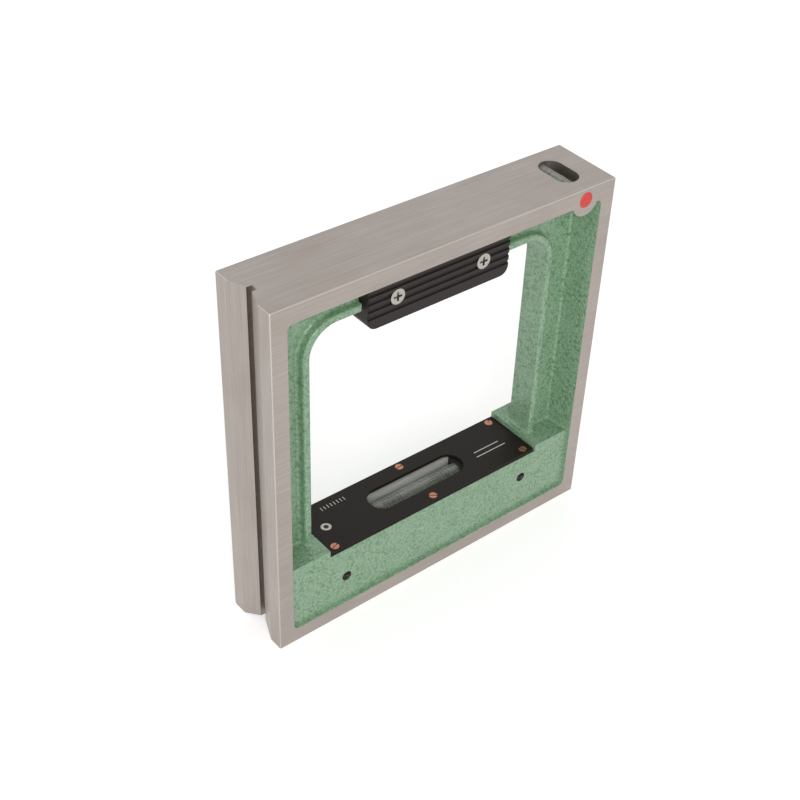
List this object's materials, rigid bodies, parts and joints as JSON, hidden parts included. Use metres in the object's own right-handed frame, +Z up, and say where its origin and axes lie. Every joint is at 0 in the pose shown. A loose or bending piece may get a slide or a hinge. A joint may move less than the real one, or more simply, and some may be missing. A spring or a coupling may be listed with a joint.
{
  "type": "precision machinist level",
  "caption": "Square cast-iron frame level with V-grooved base and side, covered main vial with tilt adjuster, cross vial and ribbed grip.",
  "frame": {"origin": "centre of the base, on the plane that the base rests on", "axes": "+X along the base towards the cross vial, +Y across the frame from front to rear, +Z up"},
  "size_m": [0.2, 0.04, 0.2],
  "materials": {
    "cast_iron": "ground outside, green hammer finish inside",
    "cover_black": "black anodised",
    "copper_screws": "coppered",
    "steel": "turned",
    "holder": "milled",
    "black_rubber": "plain",
    "vial_glass": "clear",
    "vial_liquid": "clear liquid",
    "vapour": "clear",
    "grip_black": "moulded",
    "red_seal": "sealing compound"
  },
  "bodies": {
    "frame": {"frame_casting": "cast_iron", "cover_plate": "cover_black", "cover_screws": "copper_screws", "pivot_screws": "steel", "side_lock_screws": "steel", "adjusting_spring": "steel", "grip_front": "grip_black", "grip_rear": "grip_black", "grip_screws": "steel", "grip_nuts": "steel", "cross_vial_glass": "vial_glass", "cross_vial_liquid": "vial_liquid", "seal_plug_front": "red_seal", "seal_plug_rear": "red_seal"},
    "vial_carrier": {"vial_holder": "holder", "vial_bush_left": "black_rubber", "vial_bush_right": "black_rubber", "main_vial_glass": "vial_glass", "main_vial_liquid": "vial_liquid", "adjusting_nut": "steel"},
    "adjuster": {"adjusting_screw": "steel"},
    "main_air": {"main_bubble": "vapour"},
    "cross_air": {"cross_bubble": "vapour"}
  },
  "joints": [
    {"name": "vial_tilt", "type": "hinge", "parent": "frame", "child": "vial_carrier", "pos_m": [0.059, 0, 0.029], "axis": [0, 1, 0], "range_deg": [-0.25, 0.25], "deforming": ["adjusting_spring"]},
    {"name": "adjuster_turn", "type": "hinge", "parent": "frame", "child": "adjuster", "pos_m": [-0.0575, 0, 0.035], "axis": [0, 0, 1], "range_deg": [-360, 360]},
    {"name": "main_bubble_run", "type": "slide", "parent": "vial_carrier", "child": "main_air", "axis": [1, 0, 0], "range_m": [-0.01, 0.01]},
    {"name": "cross_bubble_run", "type": "slide", "parent": "frame", "child": "cross_air", "axis": [0, 1, 0], "range_m": [-0.005, 0.005]}
  ],
  "couplings": [
    {"joint": "adjuster_turn", "follows": "vial_tilt", "ratio": 1440}
  ]
}
